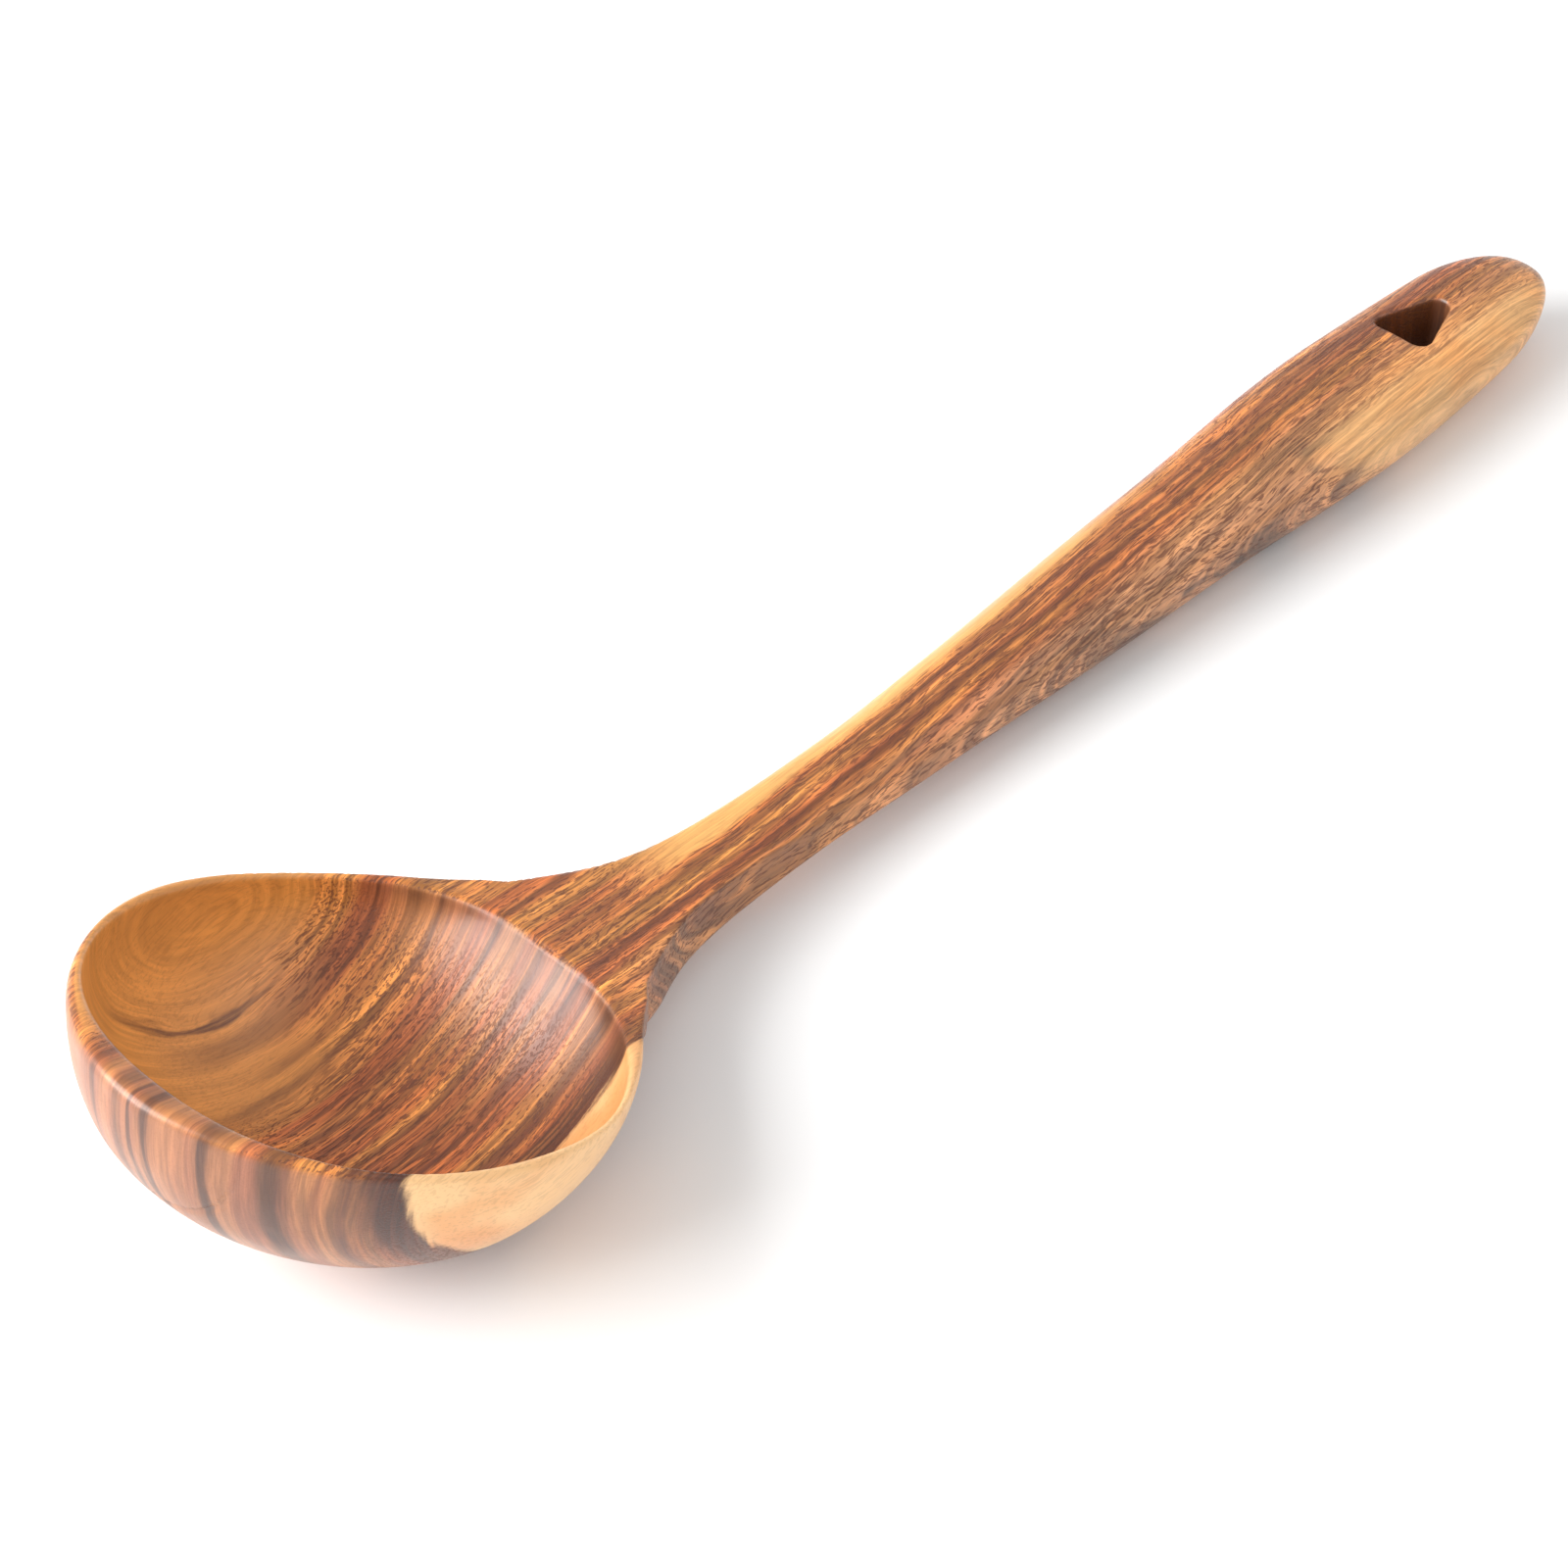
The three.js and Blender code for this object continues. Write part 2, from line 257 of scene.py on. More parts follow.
def hole(u, v, w):
    """Distance to the wall of the hanging hole, a triangle with round corners."""
    x = COS * u + SIN * w + SHIFT_X - HOLE_X
    y = np.abs(v - HOLE_ACROSS)
    corner = HOLE_BASE_HALF - HOLE_CORNER
    point = HOLE_LENGTH - HOLE_CORNER
    dx, dy = point - HOLE_CORNER, -corner
    t = np.clip(((x - HOLE_CORNER) * dx + (y - corner) * dy) / (dx * dx + dy * dy), 0, 1)
    to_side = np.hypot(x - HOLE_CORNER - t * dx, y - corner - t * dy)
    to_base = np.hypot(x - HOLE_CORNER, np.maximum(y - corner, 0))
    past = (x - HOLE_CORNER) * -dy + (y - corner) * dx
    inside = (x > HOLE_CORNER) & (past < 0)
    nearest = np.minimum(to_side, to_base)
    return np.where(inside, -nearest, nearest) - HOLE_CORNER


def ladle(u, v, w):
    """Signed distance to the finished ladle, near enough."""
    top = np.interp(u, TABLE_U, TABLE["top"])
    lean = (np.interp(u + 0.5, TABLE_U, TABLE["top"]) - top) / 0.5
    plane = (w - top) / np.sqrt(1 + lean * lean)
    edge = np.interp(u, TABLE_U, TABLE["edge"])
    soft = np.interp(u, TABLE_U, TABLE["soft"])
    crisp_side = distance(outside_crisp, u, v, w)
    crisp = smooth_max(crisp_side, plane, edge)
    body = crisp * (1 - soft) + distance(outside_soft, u, v, w) * soft
    body = smooth_max(body, -distance(hollow, u, v, w), INNER_EDGE)
    return smooth_max(body, -hole(u, v, w), HOLE_EDGE)


def level_grid():
    """The distance on a grid, exact near the surface and only its sign elsewhere."""
    s = MESH_STEP
    low = np.array([-BOWL_FRONT - 3 * s, -BOWL_HALF_WIDTH - 3 * s, -BOWL_DEPTH - 3 * s])
    high = np.array([HANDLE_END + 3 * s, BOWL_HALF_WIDTH + 3 * s, 40.0])
    cells = [int(math.ceil((h - l) / s / COARSE)) for l, h in zip(low, high)]
    big = s * COARSE
    axes = [l + big * (np.arange(n) + 0.5) for l, n in zip(low, cells)]
    uu, vv, ww = np.meshgrid(*axes, indexing="ij")
    coarse = ladle(uu.ravel(), vv.ravel(), ww.ravel()).reshape(uu.shape)
    level = coarse
    for axis in range(3):
        level = np.repeat(level, COARSE, axis=axis)
    near = np.argwhere(np.abs(level) < big * 1.35)
    points = low + (near + 0.5) * s
    level[tuple(near.T)] = ladle(*points.T)
    return low, level


def skin_of(low, level):
    """One quad mesh through the zero level: a point in each crossed cell."""
    s = MESH_STEP
    inside = level < 0
    nx, ny, nz = level.shape
    corners = [(i, j, k) for i in (0, 1) for j in (0, 1) for k in (0, 1)]
    count = sum(
        inside[i : nx - 1 + i, j : ny - 1 + j, k : nz - 1 + k].astype(np.int8)
        for i, j, k in corners
    )
    crossed = (count > 0) & (count < 8)
    cells = np.argwhere(crossed)
    number = np.full(crossed.shape, -1, np.int32)
    number[crossed] = np.arange(len(cells))
    total = np.zeros((len(cells), 3))
    hits = np.zeros(len(cells))
    for a in corners:
        for axis in range(3):
            if a[axis]:
                continue
            b = tuple(a[m] + (m == axis) for m in range(3))
            fa = level[tuple((cells + a).T)]
            fb = level[tuple((cells + b).T)]
            cross = (fa < 0) != (fb < 0)
            t = fa / np.where(cross, fa - fb, 1)
            place = np.array(a, float) + np.outer(t, np.eye(3)[axis])
            total += place * cross[:, None]
            hits += cross
    points = low + (cells + 0.5 + total / hits[:, None]) * s
    quads = []
    for axis in range(3):
        o1, o2 = [m for m in range(3) if m != axis]
        one = inside[tuple(slice(1, -1) if m != axis else slice(0, -1) for m in range(3))]
        two = inside[tuple(slice(1, -1) if m != axis else slice(1, None) for m in range(3))]
        edges = np.argwhere(one != two)
        grows = one[tuple(edges.T)]
        base = edges.copy()
        base[:, o1] += 1
        base[:, o2] += 1
        ring = []
        for da, db in ((0, 0), (1, 0), (1, 1), (0, 1)):
            c = base.copy()
            c[:, o1] -= da
            c[:, o2] -= db
            ring.append(number[tuple(c.T)])
        quad = np.stack(ring, 1)
        turn = grows if axis != 1 else ~grows
        quad[~turn] = quad[~turn][:, ::-1]
        quads.append(quad)
    return points, np.concatenate(quads)


def settle(points, rounds=3):
    """Moves the points on to the surface along its slope."""
    e = 0.03
    for _ in range(rounds):
        here = ladle(*points.T)
        slope = np.stack(
            [ladle(*(points + e * axis).T) - here for axis in np.eye(3)], 1
        ) / e
        size = np.maximum((slope * slope).sum(1), 0.25)
        step = np.clip(here / size, -0.5, 0.5)
        points = points - slope * step[:, None]
    return points


def relax(points, faces):
    """Evens out the spacing: each point moves halfway to the mean of its neighbours."""
    total = np.zeros_like(points)
    count = np.bincount(faces.ravel(), minlength=len(points))[:, None] * 2
    for side in (1, 3):
        near = np.roll(faces, side, axis=1)
        for axis in range(3):
            total[:, axis] += np.bincount(
                faces.ravel(), points[near.ravel(), axis], minlength=len(points)
            )
    return (points + total / count) / 2


def to_table(points):
    u, v, w = points.T
    x = COS * u + SIN * w + SHIFT_X
    z = -SIN * u + COS * w + SHIFT_Z
    return np.stack([x, v, z], 1) / 1000


def mesh_object(name, points, faces):
    mesh = bpy.data.meshes.new(name)
    mesh.vertices.add(len(points))
    mesh.vertices.foreach_set("co", points.astype(np.float32).ravel())
    mesh.loops.add(faces.size)
    mesh.loops.foreach_set("vertex_index", faces.astype(np.int32).ravel())
    mesh.polygons.add(len(faces))
    mesh.polygons.foreach_set("loop_start", np.arange(0, faces.size, 4, dtype=np.int32))
    mesh.update(calc_edges=True)
    mesh.validate()
    mesh.shade_smooth()
    piece = bpy.data.objects.new(name, mesh)
    bpy.context.scene.collection.objects.link(piece)
    return piece


low, level = level_grid()
points, faces = skin_of(low, level)
points = settle(points)
for _ in range(RELAX_ROUNDS):
    points = settle(relax(points, faces), 2)
carved = mesh_object("carved_ladle", to_table(points), faces)
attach(carved, "root")
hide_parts("ladle")

# ---------- wood ----------

# The growth layers stand nearly upright along the ladle, so the figure is laid out
# across them. "Layer" is the distance from the middle layer in millimetres, where +
# is the far side (+Y), and x is the place along the ladle, also in millimetres.
LAYER_SPREAD = 0.0049        # the layers close in below the rim by this share per mm
LAYER_SLANT = 0.06           # and run across the ladle by this much per mm of its length
LAYER_START = -89.0          # x where the slant is nothing
RIM_HEIGHT = 57.0
BOWL_MIDDLE_X = -133.0
SAP_LEAN = 1.6               # mm further along that the grip's sapwood starts per mm down

# noises: size of the blotches in millimetres, seed, detail, roughness
LINES = ((30, 0.8, 18), 1.3, 5.0, 0.68)
HAIRS = ((14, 0.32, 9), 5.9, 3.0, 0.6)
BANDS = ((80, 4.5, 60), 7.7, 2.0)
CLOUDS = ((26, 10, 16), 2.9, 3.0)
GREY_PATCHES = ((20, 12, 6), 7.1, 3.0)
DASHES = ((4.2, 0.42, 0.46), 6.6, 2.0)
CROWDS = ((30, 9, 9), 9.4)
POLISH = ((20, 12, 12), 0.6, 3.0)

# swings about zero: size, seed, how far in millimetres, detail
WANDER = ((110, 45, 90), 3.1, 2.6)
RIPPLE = ((30, 8, 40), 8.7, 1.6)
FRAY = ((12, 1.0, 14), 4.2, 1.2, 3.0)
SAP_EDGE_SWING = ((24, 12, 16), 1.9, 1.6)
SAP_START_SWING = ((14, 3, 8), 3.3, 6.0, 3.0)
PORE_LEAN = ((26, 44, 44), 2.4, 2.0)
PORE_TWIST = ((10, 16, 12), 5.2, 1.0)

# A zone fades in from the first number, where there is none of it, to the second.
# The numbers are layers, or x where the name ends in X, unless a comment says so.
BOWL_GOLD = (17, 27)
BOWL_GOLD_X = (-112, -140)
INWARD = (12, -6)            # how far from the bowl's middle a face points away
RIM_GOLD = (43, 47)
STRIP_EDGE = (-2.4, 0.4)
STRIP_START_X = (-78, -50)
STRIP_STOP_X = (85, 45)
END_GOLD = (-12, -19)
END_GOLD_X = (96, 128)
BOWL_SAP_X = (-78, -86)
END_SAP = (-20, -26)
END_SAP_X = (122, 140)
SIDE = (-11, -18)
SIDE_X = (-95, -70)
BROWN_START = (-1, -4)
BROWN_STOP = (-15, -9)
BROWN_X = (-60, 10)
GREY_PATCH_EDGE = (-17, -22)
GREY_PATCH_X = (15, 35)
# where the painted shade lies on the neck's near flank, which faces away from the window
# light
FLANK_SHADE_START_X = (-108, -98)
FLANK_SHADE_STOP_X = (-50, -72)
TWIST_X = (-60, -10)
LIP_Z = (52, 55)             # the front lip: height, x and y
LIP_X = (-128, -150)
LIP_Y = (18, 2)
HOLE_DARKENING = (10.5, 8.5)     # millimetres from the middle of the hole

# the bowl's sapwood lies beyond this many millimetres from the ladle's middle plane
SAP_EDGE_X = (-150, -118)
SAP_EDGE = (38.6, 27.5)
SAP_SHARPNESS = (0.6, -0.8)  # millimetres from its edge
BESIDE_SAP = (8, 1.5)        # the dark heartwood next to it, in the same millimetres
BESIDE_SAP_X = (-86, -104)

# dark streaks: layer, half its width, darkness, from x, to x
STREAKS = [
    (42.5, 0.9, 0.95, -160, -128),
    (14.5, 1.0, 0.7, -200, -165),
    (4.8, 0.9, 0.8, -200, -150),
    (37.5, 4.0, 0.6, -150, -105),
    (36.3, 0.9, 0.95, -113, -98),
    (30, 2.5, 0.6, -140, -85),
    (25, 1.8, 0.85, -155, -75),
    (19, 1.4, 0.5, -140, -60),
    (12.5, 1.5, 0.9, -150, -50),
    (7.8, 1.6, 0.6, -200, -40),
    (1.1, 1.6, 0.85, -200, -65),
    (3.5, 0.7, 0.8, 60, 190),
    (-0.8, 0.8, 0.8, 90, 190),
    (-4.0, 1.5, 0.85, -150, 185),
    (-7.0, 0.7, 0.8, -100, 185),
    (-9.6, 1.8, 0.95, -200, 185),
    (-13.0, 0.9, 0.8, -130, 190),
    (-17.0, 1.3, 0.6, -140, 190),
    (-20.5, 3.6, 1.0, -200, -90),
    (-24.8, 1.0, 0.4, -200, -90),
    (-29.3, 2.6, 0.9, -200, -110),
]
STREAK_CORE = 0.15           # share of its half width that is fully dark
STREAK_TAPER = 8             # mm on either side of its ends over which it fades

HEART_LIGHT = (244, 158, 75)
HEART_MID = (204, 111, 53)
HEART_SIDE = (208, 146, 98)
GRIP_BROWN = (170, 98, 58)
GOLDEN = (232, 156, 76)
STRIP = (236, 174, 98)
SAPWOOD = (248, 198, 138)
SAPWOOD_DEEP = (232, 162, 98)
STREAK_BROWN = (78, 36, 22)
STREAK_BLACK = (48, 34, 34)
END_GRAIN = (138, 94, 76)
FLECK = (90, 44, 25)
# grey patches low on the grip, and the painted shade on the neck's near flank
GREY_PATCH_AND_SHADE = (88, 64, 52)
HOLE_BROWN = (88, 50, 30)


def srgb(red, green, blue):
    """A colour given as the eye reads it, 0 to 255, made linear."""
    return tuple(((c / 255 + 0.055) / 1.055) ** 2.4 for c in (red, green, blue)) + (1,)


class Graph:
    """Short ways to add shader nodes. A value is a number or another node's output."""

    def __init__(self, tree):
        self.tree = tree

    def feed(self, socket, value):
        if isinstance(value, bpy.types.NodeSocket):
            self.tree.links.new(value, socket)
        else:
            socket.default_value = value

    def maths(self, operation, *values):
        made = self.tree.nodes.new("ShaderNodeMath")
        made.operation = operation
        for socket, value in zip(made.inputs, values):
            self.feed(socket, value)
        return made.outputs[0]

    def chain(self, operation, first, *others):
        for other in others:
            first = self.maths(operation, first, other)
        return first

    def product(self, *values):
        return self.chain("MULTIPLY", *values)

    def largest(self, *values):
        return self.chain("MAXIMUM", *values)

    def total(self, *values):
        return self.chain("ADD", *values)

    def fade(self, value, start, end, low=0.0, high=1.0):
        """Eases from low, where the value is at start, to high, at end."""
        made = self.tree.nodes.new("ShaderNodeMapRange")
        made.interpolation_type = "SMOOTHSTEP"
        for socket, given in zip(made.inputs, (value, start, end, low, high)):
            self.feed(socket, given)
        return made.outputs[0]

    def mix(self, share, first, second, kind="MIX"):
        made = self.tree.nodes.new("ShaderNodeMix")
        made.data_type = "RGBA"
        made.blend_type = kind
        self.feed(made.inputs[0], share)
        self.feed(made.inputs[6], first)
        self.feed(made.inputs[7], second)
        return made.outputs[2]

    def vector(self, x, y, z):
        made = self.tree.nodes.new("ShaderNodeCombineXYZ")
        for socket, value in zip(made.inputs, (x, y, z)):
            self.feed(socket, value)
        return made.outputs[0]

    def parts(self, vector):
        made = self.tree.nodes.new("ShaderNodeSeparateXYZ")
        self.feed(made.inputs[0], vector)
        return made.outputs

    def scaled(self, vector, factors, shift=(0, 0, 0)):
        made = self.tree.nodes.new("ShaderNodeVectorMath")
        made.operation = "MULTIPLY_ADD"
        for socket, value in zip(made.inputs, (vector, factors, shift)):
            self.feed(socket, value)
        return made.outputs[0]

    def distance(self, first, second):
        made = self.tree.nodes.new("ShaderNodeVectorMath")
        made.operation = "DISTANCE"
        self.feed(made.inputs[0], first)
        self.feed(made.inputs[1], second)
        return made.outputs["Value"]

    def noise(self, vector, size, seed, detail=2.0, roughness=0.5):
        """Noise from 0 to 1 whose blotches are about size (x, y, z) millimetres."""
        made = self.tree.nodes.new("ShaderNodeTexNoise")
        factors = tuple(1 / length for length in size)
        self.feed(made.inputs["Vector"], self.scaled(vector, factors, (seed,) * 3))
        made.inputs["Scale"].default_value = 1.0
        made.inputs["Detail"].default_value = detail
        made.inputs["Roughness"].default_value = roughness
        return made.outputs[0]

    def swing(self, vector, size, seed, amount, detail=2.0):
        """Noise that swings about zero by roughly amount millimetres."""
        level = self.noise(vector, size, seed, detail)
        return self.maths("MULTIPLY_ADD", level, 2 * amount, -amount)


class Figure:
    """The wood's figure: shader values that differ from point to point."""

    def __init__(self, tree):
        g = Graph(tree)
        self.g = g
        coordinates = tree.nodes.new("ShaderNodeTexCoord").outputs["Object"]
        self.place = g.scaled(coordinates, (1000, 1000, 1000))
        self.x, self.y, self.z = g.parts(self.place)
        normal = tree.nodes.new("ShaderNodeNewGeometry").outputs["Normal"]
        self.facing_x, self.facing_y, self.facing_z = g.parts(normal)
        self.layer = self.find_layer()
        self.sheet = g.vector(self.x, self.layer, self.z)
        fray = g.swing(self.sheet, *FRAY)
        self.frayed = g.total(self.layer, fray)
        self.lines = g.noise(self.sheet, *LINES)
        self.clouds = g.noise(self.place, *CLOUDS)
        self.end_grain = self.find_end_grain()
        self.to_sap = g.total(
            self.y,
            g.fade(self.x, *SAP_EDGE_X, *SAP_EDGE),
            fray,
            g.swing(self.place, *SAP_EDGE_SWING),
        )
        self.find_zones()

    def find_layer(self):
        """Which growth layer a point lies in."""
        g = self.g
        below = g.maths("SUBTRACT", RIM_HEIGHT, self.z)
        spread = g.maths("MULTIPLY_ADD", below, LAYER_SPREAD, 1.0)
        shift = g.maths("MULTIPLY_ADD", self.x, -LAYER_SLANT, LAYER_SLANT * LAYER_START)
        layer = g.maths("MULTIPLY_ADD", self.y, spread, shift)
        return g.total(layer, g.swing(self.place, *WANDER), g.swing(self.place, *RIPPLE))

    def find_end_grain(self):
        """How much a face cuts across the fibres. The front lip counts too."""
        g = self.g
        across = g.fade(g.maths("ABSOLUTE", self.facing_x), 0.35, 0.9)
        lip = g.product(g.fade(self.z, *LIP_Z), g.fade(self.x, *LIP_X, 0.0, 0.75),
                        g.fade(self.y, *LIP_Y))
        return g.largest(across, lip)

    def find_zones(self):
        """Where golden heartwood, the pale strip, sapwood and brown wood lie."""
        g, x, frayed = self.g, self.x, self.frayed
        from_middle = g.maths("SUBTRACT", x, BOWL_MIDDLE_X)
        outward = g.total(g.product(self.facing_x, from_middle),
                          g.product(self.facing_y, self.y))
        bowl_gold = g.product(g.fade(frayed, *BOWL_GOLD), g.fade(x, *BOWL_GOLD_X),
                              g.fade(outward, *INWARD, 0.15, 1.0))
        end_gold = g.product(g.fade(frayed, *END_GOLD), g.fade(x, *END_GOLD_X, 0.0, 0.45))
        self.golden = g.largest(bowl_gold, g.fade(frayed, *RIM_GOLD), end_gold)
        self.strip = g.product(g.fade(frayed, *STRIP_EDGE), g.fade(x, *STRIP_START_X),
                               g.fade(x, *STRIP_STOP_X))
        self.bowl_sap = g.product(g.fade(self.to_sap, *SAP_SHARPNESS),
                                  g.fade(x, *BOWL_SAP_X))
        along = g.maths("MULTIPLY_ADD", self.z, SAP_LEAN, x)
        along = g.total(along, g.swing(self.sheet, *SAP_START_SWING))
        self.end_sap = g.product(g.fade(frayed, *END_SAP), g.fade(along, *END_SAP_X))
        self.sap = g.largest(self.bowl_sap, self.end_sap)
        self.side = g.product(g.fade(frayed, *SIDE), g.fade(x, *SIDE_X))
        self.brown = g.product(g.fade(frayed, *BROWN_START), g.fade(frayed, *BROWN_STOP),
                               g.fade(x, *BROWN_X))

    def streaks(self):
        """How dark the streaks are, 0 to 1. They come and go along their length."""
        g, x = self.g, self.x
        total = 0.0
        for centre, half, dark, start, end in STREAKS:
            off = g.maths("ABSOLUTE", g.maths("SUBTRACT", self.frayed, centre))
            line = g.product(
                g.fade(off, half, half * STREAK_CORE, 0.0, dark),
                g.fade(x, start - STREAK_TAPER, start + STREAK_TAPER),
                g.fade(x, end + STREAK_TAPER, end - STREAK_TAPER),
            )
            total = g.largest(total, line)
        broken = g.product(g.fade(self.lines, 0.3, 0.6, 0.3, 1.0),
                           g.fade(self.clouds, 0.25, 0.55, 0.4, 1.0))
        broken = g.largest(broken, g.product(self.end_grain, 0.9))
        # the heartwood is darkest beside the sapwood, whose edge draws in along the bowl
        beside = g.product(g.fade(self.to_sap, *BESIDE_SAP), g.fade(x, *BESIDE_SAP_X))
        return g.largest(g.product(total, broken), beside)

    def heartwood(self):
        g = self.g
        bands = g.noise(self.sheet, *BANDS)
        heart = g.mix(g.fade(bands, 0.35, 0.65), srgb(*HEART_LIGHT), srgb(*HEART_MID))
        heart = g.mix(g.product(self.side, 0.85), heart, srgb(*HEART_SIDE))
        heart = g.mix(g.product(self.brown, 0.42), heart, srgb(*GRIP_BROWN))
        heart = g.mix(g.product(self.end_grain, 0.8), heart, srgb(*END_GRAIN))
        heart = g.mix(self.golden, heart, srgb(*GOLDEN))
        heart = g.mix(self.strip, heart, srgb(*STRIP))
        ink = g.mix(self.end_grain, srgb(*STREAK_BROWN), srgb(*STREAK_BLACK))
        return g.mix(g.product(self.streaks(), 0.92), heart, ink)

    def grey_patches_and_painted_shade(self):
        """Grey patches low on the near side of the grip, and painted shade on the neck's
        near flank, which faces away from the window light.
        """
        g, x = self.g, self.x
        grey_patch = g.product(g.fade(g.noise(self.place, *GREY_PATCHES), 0.5, 0.62),
                           g.fade(self.frayed, *GREY_PATCH_EDGE), g.fade(x, *GREY_PATCH_X))
        # painted shade on the neck's near flank, where its faces turn away from the light
        painted_flank_shade = g.product(g.fade(self.facing_y, -0.45, -0.8), g.fade(x, *FLANK_SHADE_STOP_X),
                          g.fade(x, *FLANK_SHADE_START_X, 0.0, 0.6))
        return g.largest(grey_patch, painted_flank_shade)

    def sapwood(self):
        g = self.g
        pale = g.mix(g.fade(self.clouds, 0.35, 0.7), srgb(*SAPWOOD), srgb(*SAPWOOD_DEEP))
        return g.mix(g.product(self.end_sap, 0.35), pale, srgb(*GOLDEN))

    def tone(self):
        """How light the wood is, 1 on the whole. It varies least in the plain zones."""
        g = self.g
        plain = g.largest(
            g.product(g.largest(self.golden, self.strip), 0.7),
            g.product(self.end_grain, 0.6),
            g.product(self.bowl_sap, 0.97),
            g.product(self.end_sap, 0.4),
        )
        hairs = g.noise(self.sheet, *HAIRS)
        tone = g.product(
            g.fade(self.lines, 0.34, 0.66, 0.38, 1.30),
            g.fade(hairs, 0.3, 0.7, 0.78, 1.14),
            g.fade(self.clouds, 0.3, 0.7, 0.72, 1.16),
        )
        return g.total(g.product(tone, g.maths("SUBTRACT", 1.0, plain)), plain)

    def pores(self):
        """Open pores: short dashes along the grain, leaning where it interlocks."""
        g = self.g
        twist = g.product(g.swing(self.place, *PORE_TWIST), g.fade(self.x, *TWIST_X))
        lean = g.total(g.swing(self.place, *PORE_LEAN), twist)
        grain = g.vector(self.x, g.total(self.layer, lean), g.total(self.z, lean))
        dashes = g.noise(grain, *DASHES)
        crowd = g.noise(self.place, *CROWDS)
        fine = g.largest(self.golden, self.sap, self.strip)
        return g.product(
            g.fade(g.maths("MULTIPLY_ADD", crowd, 0.24, dashes), 0.64, 0.72),
            g.fade(fine, 0.0, 1.0, 1.0, 0.2),
            g.fade(self.end_grain, 0.0, 0.7, 1.0, 0.12),
        )

    def in_hole(self):
        """The walls of the hanging hole, painted darker."""
        g = self.g
        flat = g.vector(self.x, self.y, 0.0)
        middle = (HOLE_X + HOLE_LENGTH / 2, HOLE_ACROSS, 0)
        near = g.fade(g.distance(flat, middle), *HOLE_DARKENING, 0.0, 0.7)
        return g.product(near, g.fade(g.maths("ABSOLUTE", self.facing_z), 0.7, 0.2))


COAT_WEIGHT = 0.3
COAT_ROUGHNESS = 0.3
RELIEF_STRENGTH = 0.6
RELIEF_DEPTH = 0.00006       # metres


def wood_material():
    material = bpy.data.materials.new("oiled_wood")
    material.use_nodes = True
    tree = material.node_tree
    shader = tree.nodes["Principled BSDF"]
    figure = Figure(tree)
    g = figure.g
    pores = figure.pores()
    tone = figure.tone()

    # grey patches low on the grip, and painted shade on the neck's near flank
    colour = g.mix(g.product(figure.grey_patches_and_painted_shade(), 0.75), figure.heartwood(), srgb(*GREY_PATCH_AND_SHADE))
    colour = g.mix(figure.sap, colour, figure.sapwood())
    colour = g.mix(1.0, colour, g.vector(tone, tone, tone), "MULTIPLY")
    colour = g.mix(g.product(pores, 0.72), colour, srgb(*FLECK))
    # the walls of the hanging hole are painted darker
    colour = g.mix(figure.in_hole(), colour, srgb(*HOLE_BROWN))
    g.feed(shader.inputs["Base Color"], colour)

    # a satin oil finish, duller in the pores and along the lines
    rough = g.fade(g.noise(figure.place, *POLISH), 0.3, 0.7, 0.28, 0.40)
    rough = g.maths("MULTIPLY_ADD", pores, 0.25, rough)
    rough = g.maths("MULTIPLY_ADD", figure.lines, 0.06, rough)
    g.feed(shader.inputs["Roughness"], rough)
    shader.inputs["Coat Weight"].default_value = COAT_WEIGHT
    shader.inputs["Coat Roughness"].default_value = COAT_ROUGHNESS

    relief = g.maths("MULTIPLY_ADD", pores, -1.0, g.product(figure.lines, 0.25))
    bump = tree.nodes.new("ShaderNodeBump")
    bump.inputs["Strength"].default_value = RELIEF_STRENGTH
    bump.inputs["Distance"].default_value = RELIEF_DEPTH
    g.feed(bump.inputs["Height"], relief)
    g.feed(shader.inputs["Normal"], bump.outputs[0])
    return material


carved.data.materials.append(wood_material())

# ---------- camera ----------

LENS = 108.23                # millimetres, on a 36 mm wide sensor
TURN = -0.806                # radians about +Z
DOWN = 0.771                 # radians below the horizon
TARGET = Vector((-0.03738, 0, 0.02449))
BACK_OFF = 0.83818
ASIDE = -0.00231
ABOVE = 0.00228

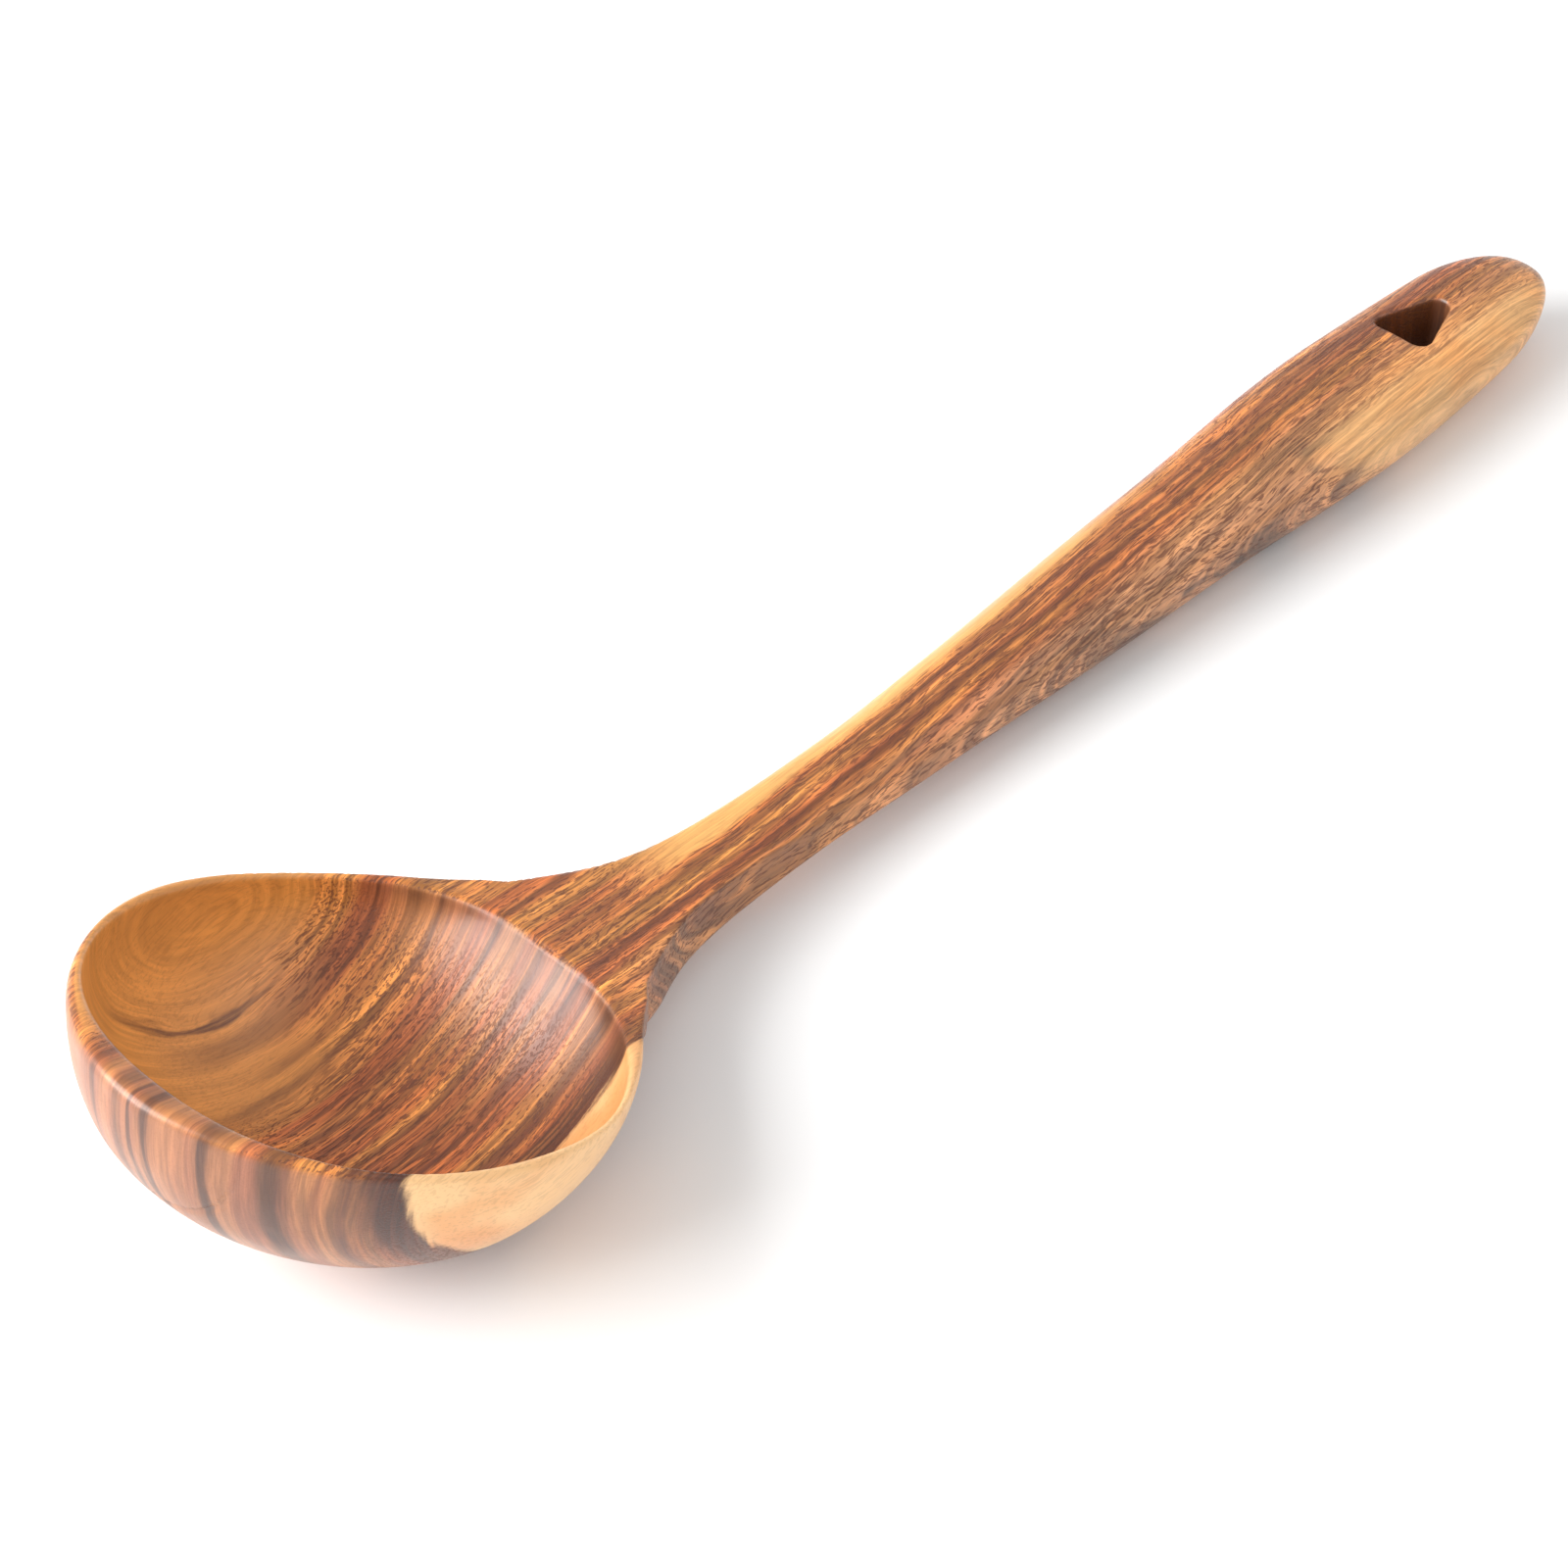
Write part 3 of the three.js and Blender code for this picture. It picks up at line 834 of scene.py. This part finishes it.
right = Vector((math.cos(TURN), math.sin(TURN), 0))
ahead = Vector((
    -math.cos(DOWN) * math.sin(TURN),
    math.cos(DOWN) * math.cos(TURN),
    -math.sin(DOWN),
))
upward = right.cross(ahead)
camera_data = bpy.data.cameras.new("camera")
camera_data.lens = LENS
camera_data.sensor_width = 36
camera_data.clip_start = 0.05
camera_data.clip_end = 20
camera = bpy.data.objects.new("camera", camera_data)
place = TARGET - ASIDE * right - ABOVE * upward - BACK_OFF * ahead
turn = Matrix((right, upward, -ahead)).transposed().to_4x4()
camera.matrix_world = Matrix.Translation(place) @ turn
bpy.context.scene.collection.objects.link(camera)
bpy.context.scene.camera = camera

# ---------- floor and light ----------

FLOOR_HALF = 3               # metres

floor_mesh = bpy.data.meshes.new("floor")
floor_mesh.from_pydata(
    [(x * FLOOR_HALF, y * FLOOR_HALF, 0) for x, y in ((-1, -1), (1, -1), (1, 1), (-1, 1))],
    [],
    [(0, 1, 2, 3)],
)
floor = bpy.data.objects.new("floor", floor_mesh)
bpy.context.scene.collection.objects.link(floor)
paper = bpy.data.materials.new("paper")
paper.use_nodes = True
paper_shader = paper.node_tree.nodes["Principled BSDF"]
paper_shader.inputs["Base Color"].default_value = (0.92, 0.92, 0.92, 1)
paper_shader.inputs["Roughness"].default_value = 0.9
paper_shader.inputs["Specular IOR Level"].default_value = 0.1
floor.data.materials.append(paper)

world = bpy.data.worlds.new("studio")
world.use_nodes = True
world.node_tree.nodes["Background"].inputs["Color"].default_value = (1, 1, 1, 1)
world.node_tree.nodes["Background"].inputs["Strength"].default_value = 0.68
bpy.context.scene.world = world


def area_light(name, place, target, size, power):
    light = bpy.data.lights.new(name, "AREA")
    light.shape = "RECTANGLE"
    light.size, light.size_y = size
    light.energy = power
    lamp = bpy.data.objects.new(name, light)
    lamp.location = place
    aim = Vector(target) - Vector(place)
    lamp.rotation_mode = "QUATERNION"
    lamp.rotation_quaternion = aim.to_track_quat("-Z", "Y")
    bpy.context.scene.collection.objects.link(lamp)


area_light("window", (-1.05, 0.66, 0.85), (0, 0, 0), (1.3, 1.0), 29)
area_light("low_window", (-1.25, 0.78, 0.42), (-0.1, 0, 0.03), (1.1, 0.6), 8)
area_light("fill", (0.6, -1.1, 1.2), (0, 0, 0), (1.6, 1.2), 5)

bpy.context.scene.view_settings.view_transform = "Standard"
